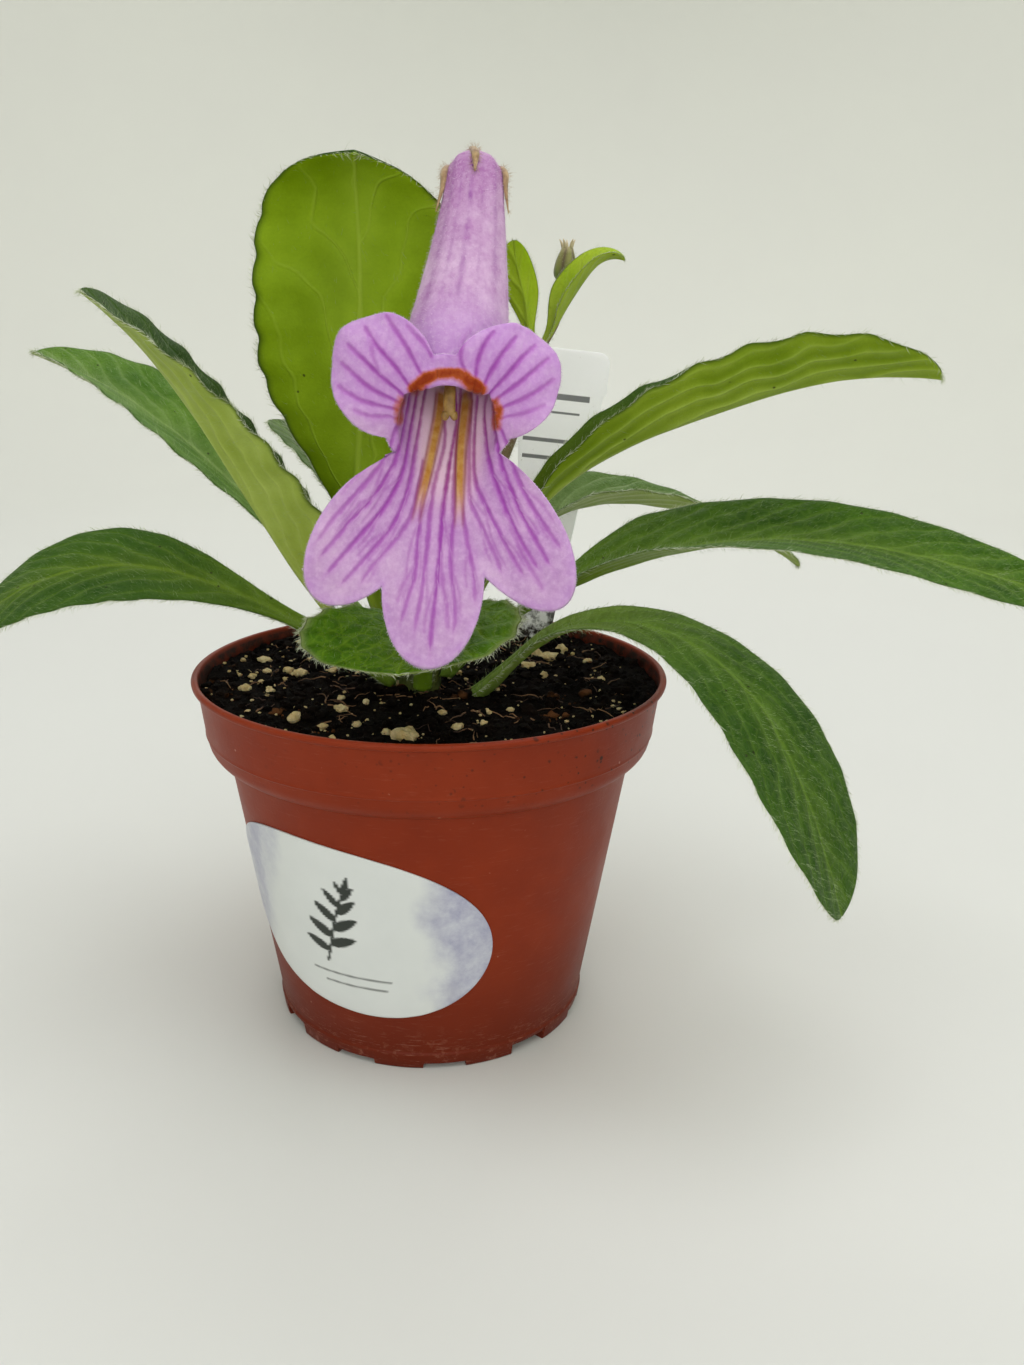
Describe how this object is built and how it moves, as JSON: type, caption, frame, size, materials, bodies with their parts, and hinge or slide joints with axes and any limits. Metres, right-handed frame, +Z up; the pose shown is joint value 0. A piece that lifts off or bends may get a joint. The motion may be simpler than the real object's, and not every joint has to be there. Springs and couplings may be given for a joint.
{
  "type": "potted flowering house plant",
  "caption": "Flowering house plant with a rosette of soft hairy green leaves and a lilac two-lipped flower, in a round terracotta-coloured plastic nursery pot with soil and a white label stake.",
  "frame": {"origin": "the middle of the pot's base, on the surface that the pot stands on", "axes": "+X to the right and -Y towards the viewer, seen from the flower's front; +Z up"},
  "size_m": [0.1793, 0.0947, 0.1424],
  "materials": {
    "pot_plastic": "matte",
    "soil_mix": "rough",
    "leaf_green": "soft hairy",
    "leaf_underside": "soft hairy",
    "stem_hairy": "soft hairy",
    "petal_lilac": "satin",
    "sepal_dry": "dry hairy",
    "stigma_olive": "satin",
    "anther_cream": "matte",
    "label_plastic": "satin",
    "sticker_paper": "satin"
  },
  "bodies": {
    "root": {"pot": "pot_plastic", "crown": "stem_hairy", "soil": "soil_mix", "leaf_erect": "leaf_underside", "leaf_left_folded": "leaf_underside", "leaf_left_back": "leaf_green", "leaf_left_low": "leaf_green", "leaf_front": "leaf_green", "leaf_right_high": "leaf_underside", "leaf_right_back": "leaf_green", "leaf_right_long": "leaf_green", "leaf_right_drooping": "leaf_green", "leaf_small_back": "leaf_green", "flower_stalk": "stem_hairy", "bract_left": "leaf_green", "bract_right": "leaf_green", "corolla": "petal_lilac", "calyx": "sepal_dry", "pistil": "stigma_olive", "stamens": "anther_cream", "bud": "sepal_dry", "plant_label": "label_plastic", "pot_sticker": "sticker_paper"}
  },
  "joints": []
}
